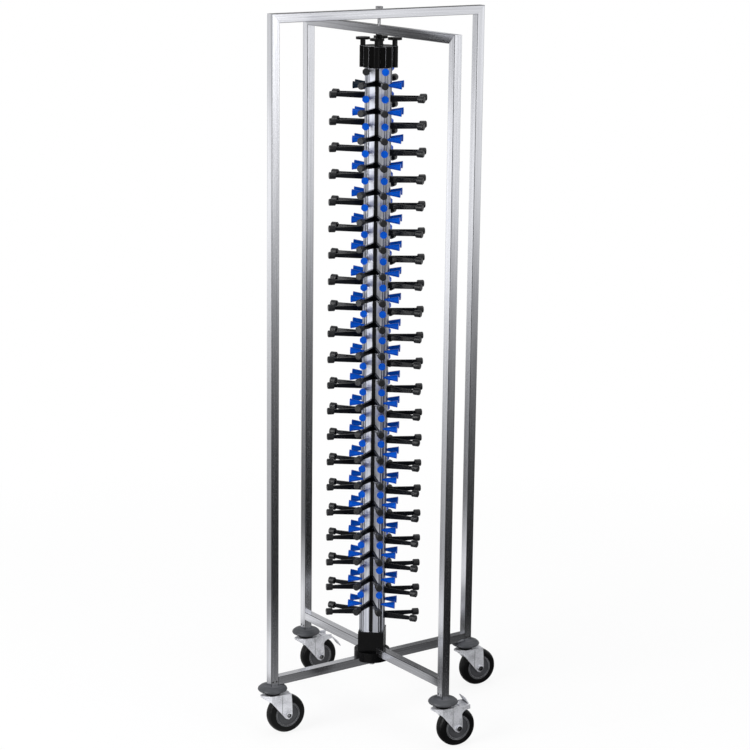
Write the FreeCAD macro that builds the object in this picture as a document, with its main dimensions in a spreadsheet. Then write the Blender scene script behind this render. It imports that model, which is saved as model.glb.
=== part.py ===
"""Mobile plate rack: two crossing tube hoops on casters around a column of plate supports.

Sizes are in millimetres and Z is up. The origin is on the folding axis at floor level, the
column's front face looks along -Y, and every sub-part is written to parts/ as its own file.
"""
import FreeCAD
import Part
import Sketcher
import math
import os

SIZES = {
    # hoops of square tube
    "tube": 22.0,
    "tube_wall": 1.5,
    "tube_round": 1.2,
    "tall_width": 636.0,
    "low_width": 642.0,
    "tall_top": 1815.0,
    "hoop_gap": 16.0,
    "beam_gap": 6.0,
    "hoop_turn": 41.6,
    "screw_hole_radius": 1.3,
    "screw_hole_height": 11.0,
    "screw_hole_offset": 5.5,
    # hub and pivot bolts
    "hub_radius": 46.0,
    "hub_rise": 12.0,
    "seam_rise": 3.0,
    "hub_cover": 9.0,
    "turn_gap": 0.3,
    "bolt_radius": 4.0,
    "bolt_play": 0.05,
    "top_head_circle": 9.2,
    "top_head_height": 7.0,
    "low_head_circle": 7.5,
    "low_head_height": 5.5,
    # column, foot and cap
    "column_flat": 63.0,
    "column_chamfer": 12.0,
    "foot_floor": 10.0,
    "foot_depth": 31.0,
    "column_bore": 13.0,
    "edge_groove": 0.9,
    "corner_groove": 0.8,
    "slot_neck": 10.0,
    "slot_lip": 3.0,
    "slot_wide": 16.0,
    "slot_deep": 8.0,
    "foot_side": 66.0,
    "cap_flat": 70.0,
    "cap_room": 28.0,
    "cap_height": 53.0,
    "cap_roof": 12.0,
    "cap_chamfer": 14.0,
    "cap_wall": 5.0,
    "cap_boss": 8.0,
    "screw_circle": 39.5,
    "screw_post": 8.0,
    "screw_bore": 6.0,
    # height adjusters and slides
    "screw_radius": 3.0,
    "screw_length": 45.0,
    "knob_radius": 17.5,
    "knob_lift": 14.5,
    "knob_thick": 6.0,
    "knob_stem": 6.5,
    "knob_scallop": 2.2,
    "slide_gap": 0.3,
    "slide_proud": 0.5,
    "slide_room": 25.0,
    "lug_height": 12.0,
    # plate supports
    "pitch": 66.8,
    "end_rise": 78.5,
    "side_rise": 42.6,
    "stop_rise": 32.2,
    "stop_room": 6.3,
    "front_lift": 3.3,
    "right_lift": 0.0,
    "back_lift": 3.3,
    "left_lift": 7.6,
    "arm_thick": 6.0,
    "arm_tip_radial": 101.0,
    "arm_tip_lateral": 24.8,
    "arm_root_lateral": 3.1,
    "arm_root_rise": 5.5,
    "arm_root_drop": 9.5,
    "arm_tip_rise": 3.8,
    "arm_tip_drop": 4.7,
    "tongue_length": 8.0,
    "pad_radius": 8.8,
    "pad_length": 17.0,
    "pad_edge": 1.5,
    "stop_lateral": 23.8,
    "stop_end": 60.5,
    "stop_neck_radius": 2.6,
    "stop_root_radius": 4.2,
    "stop_end_radius": 9.5,
    # casters
    "caster_heading": 32.0,
    "trail": 36.0,
    "wheel_radius": 50.0,
    "caster_room": 30.0,
    "tyre_half": 16.0,
    "rim_radius": 32.0,
    "hub_half": 17.5,
    "axle_radius": 4.0,
    "axle_head_radius": 8.3,
    "axle_head_height": 4.5,
    "axle_dip_radius": 4.5,
    "axle_dip": 2.5,
    "axle_edge": 1.2,
    "fork_half": 18.0,
    "fork_sheet": 2.5,
    "fork_room": 6.0,
    "crown_thick": 3.0,
    "fork_nose": 32.0,
    "nose_half": 5.0,
    "nose_deep": 4.0,
    "fork_bend": 10.0,
    "bend_deep": 18.0,
    "cheek_top": 8.0,
    "cheek_back": 10.5,
    "cheek_drop": 11.5,
    "crease_trail": 18.7,
    "crease_deep": 0.7,
    "ear_reach": 31.0,
    "ear_rise": 3.0,
    "ear_deep": 8.0,
    "window_back": 2.0,
    "king_pin": 5.0,
    "king_head": 9.0,
    "race_low_radius": 19.0,
    "race_high_radius": 25.0,
    "bumper_height": 14.0,
    "bumper_radius": 37.5,
    "neck_radius": 8.0,
    "plug_height": 45.0,
    "pin_back": 7.5,
    "pin_drop": 2.0,
    "pedal_pin_radius": 2.5,
    "pedal_sleeve": 3.6,
    "pedal_half": 15.0,
    "pedal_sheet": 2.5,
}
SIDES = {"front": 0.0, "right": 90.0, "back": 180.0, "left": 270.0}
KNOB_SCALLOPS = 12
STOP_FLATS = 8
TUBE_SCREWS = (-1, 1)
SHEET = "Sizes"
# upper edges of the brake pedals' bent plates, back and up from the pivot pin: the front pedal
# stands up behind the bumper, and the back one is pressed down and reaches past the tyre
PEDAL_PATHS = {
    "front_right": (((0.0, 2.5), (22.5, 6.5)), ((22.5, 6.5), (11.5, 23.0))),
    "back_left": (((0.0, 2.5), (18.5, -4.2), (34.5, -8.0), (44.0, -17.5), (54.5, -32.5)),),
}


class Size:
    """A number together with the sheet formula that gives it."""

    def __init__(self, value, text):
        self.value = float(value)
        self.text = text

    def __add__(self, other):
        return Size(self.value + number(other), f"({self.text} + {formula(other)})")

    def __radd__(self, other):
        return self + other

    def __sub__(self, other):
        return Size(self.value - number(other), f"({self.text} - {formula(other)})")

    def __rsub__(self, other):
        return Size(number(other) - self.value, f"({formula(other)} - {self.text})")

    def __mul__(self, other):
        return Size(self.value * number(other), f"({self.text} * {formula(other)})")

    def __rmul__(self, other):
        return self * other

    def __truediv__(self, other):
        return Size(self.value / number(other), f"({self.text} / {formula(other)})")

    def __neg__(self):
        return Size(-self.value, f"(0 - {self.text})")


def number(item):
    """Plain value of a size or a number."""
    return item.value if isinstance(item, Size) else float(item)


def formula(item):
    """Sheet formula of a size or a number."""
    return item.text if isinstance(item, Size) else f"{float(item):.6f}"


def write_sheet(doc):
    """Put every driving size into the sheet and return the sizes by name."""
    sheet = doc.addObject("Spreadsheet::Sheet", SHEET)
    for row, (alias, value) in enumerate(SIZES.items(), start=1):
        sheet.set(f"A{row}", alias)
        sheet.set(f"B{row}", str(value))
        sheet.setAlias(f"B{row}", alias)
    doc.recompute()
    return {alias: Size(sheet.get(alias), f"{SHEET}.{alias}") for alias in SIZES}


def follow_on(size):
    """Heights that follow from the driving sizes, so that every part stays on its neighbour."""
    tube = size["tube"]
    size["low_top"] = size["tall_top"] - tube - size["hoop_gap"]
    size["cap_top"] = size["low_top"] - tube - size["cap_room"]
    size["cap_bottom"] = size["cap_top"] - size["cap_height"]
    size["column_top"] = size["cap_top"] - size["cap_roof"]
    size["slide_top"] = size["cap_top"] - size["slide_room"]
    size["knob_bottom"] = size["cap_top"] + size["knob_lift"]
    size["screw_bottom"] = size["cap_top"] - size["screw_length"]
    size["axle_height"] = size["wheel_radius"] * 1
    size["fork_top"] = size["wheel_radius"] * 2 + size["fork_room"]
    size["post_bottom"] = size["wheel_radius"] * 2 + size["caster_room"]
    size["bumper_bottom"] = size["post_bottom"] - size["bumper_height"]
    size["hub_bottom"] = size["post_bottom"] + size["hub_rise"]
    size["hub_seam"] = size["post_bottom"] + tube + size["seam_rise"]
    size["low_beam_bottom"] = size["post_bottom"] + tube + size["beam_gap"]
    size["hub_top"] = size["low_beam_bottom"] + size["hub_cover"]
    size["column_bottom"] = size["low_beam_bottom"] + tube + size["foot_floor"]
    size["foot_top"] = size["column_bottom"] + size["foot_depth"]
    for place in ("end", "side"):
        size[f"{place}_level"] = size["foot_top"] + size[f"{place}_rise"]
        size[f"{place}_stop_level"] = size[f"{place}_level"] + size["stop_rise"]
    size["pin_trail"] = size["trail"] + size["pin_back"]
    size["pin_height"] = size["fork_top"] - size["pin_drop"]


def count_levels(size):
    """Number of plate levels between the foot and the cap."""
    room = size["cap_bottom"] - size["end_stop_level"] - size["stop_room"]
    return 1 + math.floor(number(room) / number(size["pitch"]) + 1e-6)


def vector(x=0.0, y=0.0, z=0.0):
    """Vector from sizes or numbers."""
    return FreeCAD.Vector(number(x), number(y), number(z))


def placed(x=0.0, y=0.0, z=0.0, turn=0.0):
    """Placement at a point, turned about Z by degrees."""
    return FreeCAD.Placement(vector(x, y, z), FreeCAD.Rotation(vector(z=1), number(turn)))


def new_body(doc, label):
    """Empty body with its label."""
    body = doc.addObject("PartDesign::Body", label)
    body.Label = label
    return body


def new_sketch(body, role, rise=0.0):
    """Sketch on one of the body's own origin planes, lifted along its normal."""
    sketch = body.newObject("Sketcher::SketchObject", "Sketch")
    plane = next(item for item in body.Origin.OriginFeatures if item.Role == role)
    sketch.AttachmentSupport = [(plane, "")]
    sketch.MapMode = "FlatFace"
    sketch.AttachmentOffset = placed(z=rise)
    if isinstance(rise, Size):
        sketch.setExpression("AttachmentOffset.Base.z", rise.text)
    return sketch


def pin_point(sketch, geometry, position, x, y):
    """Hold a sketch point at x, y from the sketch's origin."""
    for kind, axis, size in (("DistanceX", -2, x), ("DistanceY", -1, y)):
        if number(size) == 0.0:
            sketch.addConstraint(Sketcher.Constraint("PointOnObject", geometry, position, axis))
            continue
        rule = Sketcher.Constraint(kind, -1, 1, geometry, position, number(size))
        index = sketch.addConstraint(rule)
        sketch.setExpression(f"Constraints[{index}]", formula(size))


def add_loop(sketch, points):
    """Closed loop of straight lines through the points."""
    first = sketch.GeometryCount
    count = len(points)
    for index, point in enumerate(points):
        after = points[(index + 1) % count]
        sketch.addGeometry(Part.LineSegment(vector(*point), vector(*after)), False)
    for index in range(count):
        joint = (first + index, 2, first + (index + 1) % count, 1)
        sketch.addConstraint(Sketcher.Constraint("Coincident", *joint))
    for index, (x, y) in enumerate(points):
        pin_point(sketch, first + index, 1, x, y)


def add_circle(sketch, x, y, radius):
    """Circle with its centre and radius held."""
    index = sketch.addGeometry(Part.Circle(vector(x, y), vector(z=1), number(radius)), False)
    rule = sketch.addConstraint(Sketcher.Constraint("Radius", index, number(radius)))
    sketch.setExpression(f"Constraints[{rule}]", formula(radius))
    pin_point(sketch, index, 3, x, y)


def add_box_loop(sketch, x_low, x_high, y_low, y_high):
    """Rectangle between two corners."""
    add_loop(sketch, [(x_low, y_low), (x_high, y_low), (x_high, y_high), (x_low, y_high)])


def pad(body, sketch, length, symmetric=False):
    """Raise a sketch into a solid."""
    feature = body.newObject("PartDesign::Pad", "Pad")
    feature.Profile = sketch
    feature.setExpression("Length", formula(length))
    if symmetric:
        feature.SideType = "Symmetric"
    sketch.Visibility = False
    return feature


def pocket(body, sketch, depth=None):
    """Cut a sketch right through both ways, or to a depth along its normal."""
    feature = body.newObject("PartDesign::Pocket", "Pocket")
    feature.Profile = sketch
    if depth is None:
        feature.Type = "ThroughAll"
        feature.SideType = "Symmetric"
    else:
        feature.Type = "Length"
        feature.Reversed = True
        feature.setExpression("Length", formula(depth))
    sketch.Visibility = False
    return feature


def revolve(body, points):
    """Turn a profile of radius and height about the body's Z axis."""
    sketch = new_sketch(body, "XZ_Plane")
    add_loop(sketch, points)
    feature = body.newObject("PartDesign::Revolution", "Revolution")
    feature.Profile = sketch
    feature.ReferenceAxis = (sketch, ["V_Axis"])
    feature.Angle = 360.0
    sketch.Visibility = False
    return feature


def around(body, feature, sketch, count):
    """Repeat a feature evenly about the normal of its sketch."""
    pattern = body.newObject("PartDesign::PolarPattern", "PolarPattern")
    pattern.Originals = [feature]
    pattern.Axis = (sketch, ["N_Axis"])
    pattern.Angle = 360.0
    pattern.Occurrences = count
    body.Tip = pattern
    return pattern


def primitive(doc, kind, name, sizes, base=(0.0, 0.0, 0.0), rotation=None):
    """Part primitive whose sizes and position follow the sheet."""
    item = doc.addObject(kind, name)
    item.Placement = FreeCAD.Placement(vector(*base), rotation or FreeCAD.Rotation())
    for prop, size in sizes.items():
        item.setExpression(prop, formula(size))
    for axis, size in zip("xyz", base):
        item.setExpression(f"Placement.Base.{axis}", formula(size))
    return item


def cylinder(doc, name, radius, low, high, x=0.0, y=0.0):
    """Upright cylinder between two heights."""
    sizes = {"Radius": radius, "Height": high - low}
    return primitive(doc, "Part::Cylinder", name, sizes, (x, y, low))


def hexagon(doc, name, circle, low, high):
    """Upright hexagonal prism between two heights."""
    item = primitive(doc, "Part::Prism", name, {"Circumradius": circle, "Height": high - low},
                     (0.0, 0.0, low))
    item.Polygon = 6
    return item


def fused(doc, label, items):
    """One solid from several that touch."""
    result = doc.addObject("Part::MultiFuse", label)
    result.Shapes = items
    result.Label = label
    return result


def cut_away(doc, label, base, tools):
    """Base solid with each tool cut from it."""
    for index, tool in enumerate(tools):
        result = doc.addObject("Part::Cut", f"{label}_{index}")
        result.Base = base
        result.Tool = tool
        base = result
    base.Label = label
    return base


def group(doc, label, shapes):
    """Identical solids kept apart under one label."""
    result = doc.addObject("Part::Feature", label)
    result.Shape = Part.Compound(shapes)
    result.Placement = FreeCAD.Placement()
    result.Label = label
    return result


def moved(shape, placement):
    """Copy of a shape carried by a placement."""
    copy = shape.copy()
    copy.Placement = placement.multiply(copy.Placement)
    return copy


def octagon(flat, chamfer):
    """Corners of a square with its corners cut at 45 degrees."""
    half = flat / 2
    side = half - chamfer
    return [(side, -half), (half, -side), (half, side), (side, half),
            (-side, half), (-half, side), (-half, -side), (-side, -half)]


def square_tube(doc, label, size, length, mitres=(), bolt_hole=None, screws=False):
    """Hollow tube along Z whose outer side, the long side of a mitre, looks along -X."""
    half = size["tube"] / 2
    inner = half - size["tube_wall"]
    body = new_body(doc, label)
    ring = new_sketch(body, "XY_Plane")
    add_box_loop(ring, -half, half, -half, half)
    add_box_loop(ring, -inner, inner, -inner, inner)
    bar = pad(body, ring, length)
    doc.recompute()
    corner = number(half)
    edges = [f"Edge{index}" for index, edge in enumerate(bar.Shape.Edges, start=1)
             if all(abs(abs(value) - corner) < 1e-6
                    for vertex in edge.Vertexes for value in (vertex.X, vertex.Y))
             and abs(edge.Length - number(length)) < 1e-6]
    rounding = body.newObject("PartDesign::Fillet", "Fillet")
    rounding.Base = (bar, edges)
    rounding.setExpression("Radius", size["tube_round"].text)
    for mitre in mitres:
        low, high = (size["tube"] * 0, size["tube"]) if mitre == "start" else (length, length - size["tube"])
        wedge = new_sketch(body, "XZ_Plane")
        add_loop(wedge, [(-half, low), (half, low), (half, high)])
        pocket(body, wedge)
    if bolt_hole is not None:
        hole = new_sketch(body, "YZ_Plane")
        add_circle(hole, 0.0, length / 2, bolt_hole)
        pocket(body, hole)
    if screws:
        holes = new_sketch(body, "XZ_Plane")
        for side in TUBE_SCREWS:
            add_circle(holes, side * size["screw_hole_offset"], size["screw_hole_height"],
                       size["screw_hole_radius"])
        pocket(body, holes)
    return body


def build_hoop(doc, size, name, width, top, beam_bottom, turn):
    """Rectangular hoop of four tubes: two posts, a mitred top beam and a bottom beam."""
    tube = size["tube"]
    centre = width / 2 - tube / 2
    play = size["bolt_radius"] + size["bolt_play"]
    across = FreeCAD.Rotation(vector(z=1), number(turn)).multVec(vector(x=1))
    beam_turn = FreeCAD.Rotation(vector(z=-1), vector(), across, "ZXY")
    parts = []
    right = 1 if name == "tall_hoop" else -1
    for side, sign in (("left", -right), ("right", right)):
        post = square_tube(doc, f"{name}_{side}_post", size, top - size["post_bottom"], ("end",), None, True)
        spot = across * (sign * number(centre))
        post.Placement = placed(spot.x, spot.y, size["post_bottom"], number(turn) + (180 if sign > 0 else 0))
        parts.append(post)
    upper = square_tube(doc, f"{name}_top_beam", size, width, ("start", "end"), play)
    lower = square_tube(doc, f"{name}_bottom_beam", size, width - tube * 2, (), play)
    for beam, height in ((upper, top - tube / 2), (lower, beam_bottom + tube / 2)):
        length = number(width) if beam is upper else number(width) - 2 * number(tube)
        beam.Placement = FreeCAD.Placement(vector(z=height) - across * (length / 2), beam_turn)
        parts.append(beam)
    return parts


def build_hub(doc, size):
    """Two turning halves of the hub and the square foot that holds the column."""
    tube = size["tube"]
    play = size["bolt_radius"] + size["bolt_play"]
    radius = size["hub_radius"]
    tall_turn = size["hoop_turn"].value
    low_turn = tall_turn + 90.0

    def channel(name, low, high):
        """Bar along X as wide as the tube, to cut a saddle."""
        sizes = {"Length": radius * 4, "Width": tube, "Height": high - low}
        return primitive(doc, "Part::Box", name, sizes, (radius * -2, tube / -2, low))

    tall_beam_top = size["post_bottom"] + tube
    lower_drum = cylinder(doc, "lower_drum", radius, size["hub_bottom"], size["hub_seam"])
    lower = cut_away(doc, "lower_hub", lower_drum, [
        channel("lower_saddle", size["hub_bottom"] - 1, tall_beam_top),
        cylinder(doc, "lower_bore", play, size["hub_bottom"], size["hub_top"]),
    ])
    lower.Placement = placed(turn=tall_turn)
    upper_bottom = size["hub_seam"] + size["turn_gap"]
    upper = cut_away(doc, "upper_hub", cylinder(doc, "upper_drum", radius, upper_bottom, size["hub_top"]), [
        channel("upper_saddle", size["low_beam_bottom"], size["hub_top"] + 1),
        cylinder(doc, "upper_bore", play, size["hub_bottom"], size["hub_top"]),
    ])
    upper.Placement = placed(turn=low_turn)

    socket = new_body(doc, "foot_socket")
    outline = new_sketch(socket, "XY_Plane")
    half = size["foot_side"] / 2
    add_box_loop(outline, -half, half, -half, half)
    pad(socket, outline, size["foot_top"] - size["hub_top"])
    seat = new_sketch(socket, "XY_Plane", size["column_bottom"] - size["hub_top"])
    add_loop(seat, octagon(size["column_flat"], size["column_chamfer"]))
    pocket(socket, seat, size["foot_top"] - size["column_bottom"])
    socket.Placement = placed(z=size["hub_top"])
    saddle = channel("foot_saddle", size["hub_top"] - 1, size["low_beam_bottom"] + tube)
    bar = doc.addObject("Part::Compound", "foot_saddle_turned")
    bar.Links = [saddle]
    bar.Placement = placed(turn=low_turn)
    foot = cut_away(doc, "column_foot", socket, [
        bar,
        cylinder(doc, "foot_bore", play, size["hub_top"], size["column_bottom"] + 1),
    ])
    return [lower, upper, foot]


def build_pivot_bolts(doc, size):
    """Bolt through both top beams into the cap, and one through both bottom beams into the foot."""
    shank = size["bolt_radius"]
    top_head = hexagon(doc, "top_head", size["top_head_circle"], size["tall_top"],
                       size["tall_top"] + size["top_head_height"])
    top_shank = cylinder(doc, "top_shank", shank, size["column_top"] - 10, size["tall_top"] + 1)
    low_head = hexagon(doc, "low_head", size["low_head_circle"],
                       size["post_bottom"] - size["low_head_height"], size["post_bottom"])
    low_shank = cylinder(doc, "low_shank", shank, size["post_bottom"] - 1, size["column_bottom"] + 8)
    return [fused(doc, "top_pivot_bolt", [top_head, top_shank]),
            fused(doc, "bottom_pivot_bolt", [low_head, low_shank])]


def build_column(doc, size):
    """Extruded column: an octagon with a T-slot in each main face and grooves along its corners."""
    half = size["column_flat"] / 2
    side = half - size["column_chamfer"]
    body = new_body(doc, "column_profile")
    outline = new_sketch(body, "XY_Plane")
    add_loop(outline, octagon(size["column_flat"], size["column_chamfer"]))
    pad(body, outline, size["column_top"] - size["column_bottom"])
    bore = new_sketch(body, "XY_Plane")
    add_circle(bore, 0.0, 0.0, size["column_bore"])
    pocket(body, bore)
    slot = new_sketch(body, "XY_Plane")
    neck = size["slot_neck"] / 2
    wide = size["slot_wide"] / 2
    lip = size["slot_lip"] - half
    floor = size["slot_deep"] - half
    add_loop(slot, [(-neck, -half - 1), (neck, -half - 1), (neck, lip), (wide, lip),
                    (wide, floor), (-wide, floor), (-wide, lip), (-neck, lip)])
    around(body, pocket(body, slot), slot, len(SIDES))
    groove = new_sketch(body, "XY_Plane")
    depth = size["edge_groove"]
    for sign in (-1, 1):
        add_loop(groove, [(sign * (side - depth), -half), (sign * side, depth - half),
                          (sign * (side + depth), -half), (sign * side, -half - depth)])
    corner = (half + side) / 2
    notch = size["corner_groove"]
    for share in (-0.28, 0.28):
        spot = size["column_chamfer"] * share
        add_box_loop(groove, corner + spot - notch, corner + spot + notch,
                     spot - corner - notch, spot - corner + notch)
    around(body, pocket(body, groove), groove, len(SIDES))
    body.Placement = placed(z=size["column_bottom"])
    return body


def build_cap(doc, size):
    """Cap on the column with four screw posts and a boss under the low hoop's beam."""
    half = size["column_flat"] / 2
    circle = size["screw_circle"]
    body = new_body(doc, "top_cap")
    height = size["cap_top"] - size["cap_bottom"]
    outline = new_sketch(body, "XY_Plane")
    add_loop(outline, octagon(size["cap_flat"], size["cap_chamfer"]))
    pad(body, outline, height)
    post = new_sketch(body, "XY_Plane")
    add_circle(post, 0.0, -circle, size["screw_post"])
    around(body, pad(body, post, height), post, len(SIDES))
    boss = new_sketch(body, "XY_Plane", height)
    add_circle(boss, 0.0, 0.0, size["cap_boss"])
    pad(body, boss, size["low_top"] - size["tube"] - size["cap_top"])
    seat = new_sketch(body, "XY_Plane")
    add_loop(seat, octagon(size["column_flat"], size["column_chamfer"]))
    pocket(body, seat, size["column_top"] - size["cap_bottom"])
    slot = new_sketch(body, "XY_Plane")
    neck = size["slot_neck"] / 2
    add_box_loop(slot, -neck, neck, -circle, 1 - half)
    around(body, pocket(body, slot, height - size["cap_wall"]), slot, len(SIDES))
    bore = new_sketch(body, "XY_Plane")
    add_circle(bore, 0.0, -circle, size["screw_bore"])
    around(body, pocket(body, bore, height - size["cap_wall"]), bore, len(SIDES))
    hole = new_sketch(body, "XY_Plane")
    add_circle(hole, 0.0, -circle, size["screw_radius"] + size["bolt_play"])
    around(body, pocket(body, hole), hole, len(SIDES))
    centre = new_sketch(body, "XY_Plane")
    add_circle(centre, 0.0, 0.0, size["bolt_radius"] + size["bolt_play"])
    pocket(body, centre)
    body.Placement = placed(z=size["cap_bottom"])
    return body


def build_slide(doc, size, side):
    """T-shaped slide in one slot of the column, with the lug that its screw lifts."""
    half = size["column_flat"] / 2
    gap = size["slide_gap"]
    neck = size["slot_neck"] / 2 - gap
    wide = size["slot_wide"] / 2 - gap
    face = -half - size["slide_proud"]
    shoulder = size["slot_lip"] + gap - half
    back = size["slot_deep"] - gap - half
    circle = size["screw_circle"]
    body = new_body(doc, f"{side}_slide")
    section = new_sketch(body, "XY_Plane")
    add_loop(section, [(-neck, face), (neck, face), (neck, shoulder), (wide, shoulder),
                       (wide, back), (-wide, back), (-wide, shoulder), (-neck, shoulder)])
    length = size["slide_top"] - size["foot_top"]
    pad(body, section, length)
    lug = new_sketch(body, "XY_Plane", length - size["lug_height"])
    tip = circle + neck * 0.866
    add_loop(lug, [(-neck, -half), (neck, -half), (neck, -circle), (neck / 2, -tip),
                   (neck / -2, -tip), (-neck, -circle)])
    pad(body, lug, size["lug_height"])
    hole = new_sketch(body, "XY_Plane")
    add_circle(hole, 0.0, -circle, size["screw_radius"] + size["bolt_play"])
    pocket(body, hole)
    body.Placement = placed(z=size["foot_top"] + size[f"{side}_lift"], turn=SIDES[side])
    return body


def build_knob(doc, size, side):
    """Scalloped hand knob with its stem and lifting screw."""
    body = new_body(doc, f"{side}_height_knob")
    low = size["cap_top"] + size["turn_gap"]
    stem = new_sketch(body, "XY_Plane", low)
    add_circle(stem, 0.0, 0.0, size["knob_stem"])
    pad(body, stem, size["knob_bottom"] - low)
    disc = new_sketch(body, "XY_Plane", size["knob_bottom"])
    add_circle(disc, 0.0, 0.0, size["knob_radius"])
    pad(body, disc, size["knob_thick"])
    scallop = new_sketch(body, "XY_Plane", size["knob_bottom"])
    add_circle(scallop, size["knob_radius"] + size["knob_scallop"] / 2, 0.0, size["knob_scallop"])
    around(body, pocket(body, scallop, size["knob_thick"]), scallop, KNOB_SCALLOPS)
    screw = new_sketch(body, "XY_Plane", size["screw_bottom"])
    add_circle(screw, 0.0, 0.0, size["screw_radius"])
    pad(body, screw, size["knob_bottom"] - size["screw_bottom"])
    angle = math.radians(SIDES[side])
    circle = size["screw_circle"].value
    body.Placement = placed(circle * math.sin(angle), -circle * math.cos(angle), turn=SIDES[side])
    return body


def arm_direction(size):
    """Root point, unit direction and length of a support arm in plan."""
    root = vector(size["arm_root_lateral"], -size["column_flat"] / 2 - size["slide_proud"])
    tip = vector(size["arm_tip_lateral"], -size["arm_tip_radial"])
    along = tip - root
    length = along.Length
    along.normalize()
    return root, along, length


def build_arm(doc, size):
    """One support arm: a blade that tapers in height towards a square tongue at its tip."""
    root, along, length = arm_direction(size)
    normal = vector(-along.y, along.x)
    half = size["arm_thick"].value / 2
    face = root.y
    inner = root - normal * (half if normal.x > 0 else -half)
    outer = root + normal * (half if normal.x > 0 else -half)
    end = root + along * length
    reach = along * size["tongue_length"].value

    def meets_face(point):
        """Point where an edge of the blade runs into the slide's face."""
        return point + along * ((face - point.y) / along.y)

    body = new_body(doc, "support_arm")
    plan = new_sketch(body, "XY_Plane", -size["arm_root_drop"])
    inner_end = inner + along * length
    outer_end = outer + along * length
    corners = [meets_face(inner), meets_face(outer), outer_end, inner_end]
    add_loop(plan, [(point.x, point.y) for point in corners])
    pad(body, plan, size["arm_root_rise"] + size["arm_root_drop"])
    taper = new_sketch(body, "YZ_Plane")
    tip = -size["arm_tip_radial"]
    past = tip - 10
    add_loop(taper, [(face, size["arm_root_rise"]), (tip, size["arm_tip_rise"]),
                     (past, size["arm_tip_rise"]), (past, size["arm_root_rise"])])
    add_loop(taper, [(face, -size["arm_root_drop"]), (past, -size["arm_root_drop"]),
                     (past, -size["arm_tip_drop"]), (tip, -size["arm_tip_drop"])])
    pocket(body, taper)
    tongue = new_sketch(body, "XY_Plane", size["arm_thick"] / -2)
    stub = [inner_end - along, outer_end - along, outer_end + reach, inner_end + reach]
    add_loop(tongue, [(point.x, point.y) for point in stub])
    pad(body, tongue, size["arm_thick"])
    return body, end, along


def build_pad(doc, size):
    """Round pad along -Y with a square socket for an arm's tongue."""
    body = new_body(doc, "arm_pad")
    disc = new_sketch(body, "XZ_Plane")
    add_circle(disc, 0.0, 0.0, size["pad_radius"])
    barrel = pad(body, disc, size["pad_length"])
    doc.recompute()
    rims = [f"Edge{index}" for index, edge in enumerate(barrel.Shape.Edges, start=1)
            if isinstance(edge.Curve, Part.Circle)]
    bevel = body.newObject("PartDesign::Chamfer", "Chamfer")
    bevel.Base = (barrel, rims)
    bevel.setExpression("Size", size["pad_edge"].text)
    half = size["arm_thick"] / 2
    socket = new_sketch(body, "XZ_Plane")
    add_box_loop(socket, -half, half, -half, half)
    pocket(body, socket, size["tongue_length"])
    return body


def build_stop(doc, size):
    """Flared eight-sided plate stop along -Y, on a neck cut to sit on the column's 45 degree face."""
    face = size["column_flat"] / 2
    lateral = size["stop_lateral"]
    neck_radius = size["stop_neck_radius"]
    start = size["column_flat"] - size["column_chamfer"] - lateral - neck_radius
    across = FreeCAD.Rotation(vector(z=1), vector(x=1), vector(y=-1), "ZXY")
    flat_up = FreeCAD.Rotation(vector(z=1), 180.0 / STOP_FLATS)
    ends = []
    for name, circle, reach in (("root", size["stop_root_radius"], face),
                                ("end", size["stop_end_radius"], size["stop_end"])):
        ring = primitive(doc, "Part::RegularPolygon", f"stop_{name}", {"Circumradius": circle},
                         (lateral, -reach, 0.0), across.multiply(flat_up))
        ring.Polygon = STOP_FLATS
        ends.append(ring)
    flare = doc.addObject("Part::Loft", "stop_flare")
    flare.Sections = ends
    flare.Solid = True
    flare.Ruled = True
    neck = primitive(doc, "Part::Cylinder", "stop_neck", {"Radius": neck_radius, "Height": face - start + 1},
                     (lateral, -start, 0.0), across)
    whole = fused(doc, "stop_whole", [flare, neck])
    span = size["column_flat"]
    corner = (size["column_flat"] - size["column_chamfer"]) / 2
    slant = span * math.sqrt(0.5)
    block = primitive(doc, "Part::Box", "stop_seat", {"Length": span * 2, "Width": span, "Height": span},
                      (corner - slant, -corner - slant, span / -2),
                      FreeCAD.Rotation(vector(z=1), 45))
    return cut_away(doc, "plate_stop", whole, [block])


def both_hands(shape):
    """A shape and its mirror image across the side's centre plane."""
    return [shape, shape.mirror(vector(), vector(x=1))]


def build_supports(doc, size):
    """Arms, pads and stops of every side, level by level."""
    arm, end, along = build_arm(doc, size)
    cushion = build_pad(doc, size)
    stop = build_stop(doc, size)
    doc.recompute()
    turn = math.degrees(math.atan2(along.y, along.x)) + 90.0
    tip_pad = moved(cushion.Shape, placed(end.x, end.y, turn=turn))
    levels = count_levels(size)
    nodes = []
    for side, angle in SIDES.items():
        place = "end" if side in ("front", "back") else "side"
        arm_height = size[f"{place}_level"] + size[f"{side}_lift"]
        sets = (("arms", arm.Shape, arm_height), ("arm_pads", tip_pad, arm_height),
                ("plate_stops", stop.Shape, size[f"{place}_stop_level"]))
        for name, shape, base in sets:
            spots = [placed(z=base + size["pitch"] * level, turn=angle) for level in range(levels)]
            copies = [moved(hand, spot) for spot in spots for hand in both_hands(shape)]
            if side == "front" and name == "plate_stops":
                nodes.append(group(doc, "front_grey_stop", [copies.pop()]))
            nodes.append(group(doc, f"{side}_{name}", copies))
    return nodes


def build_wheel_hub(doc, size, name):
    """Wheel centre with a boss, a recessed web and a raised rim."""
    bore = size["axle_radius"] + size["bolt_play"]
    rim = size["rim_radius"]
    boss = size["axle_radius"] * 2.5
    face = size["tyre_half"] - 1
    web = face - 2.5
    end = size["hub_half"]
    body = new_body(doc, f"{name}_wheel_hub")
    revolve(body, [(bore, -end), (boss, -end), (boss, -web), (rim - 5, -web), (rim - 3, -face), (rim, -face),
                   (rim, face), (rim - 3, face), (rim - 5, web), (boss, web), (boss, end), (bore, end)])
    return body


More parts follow.
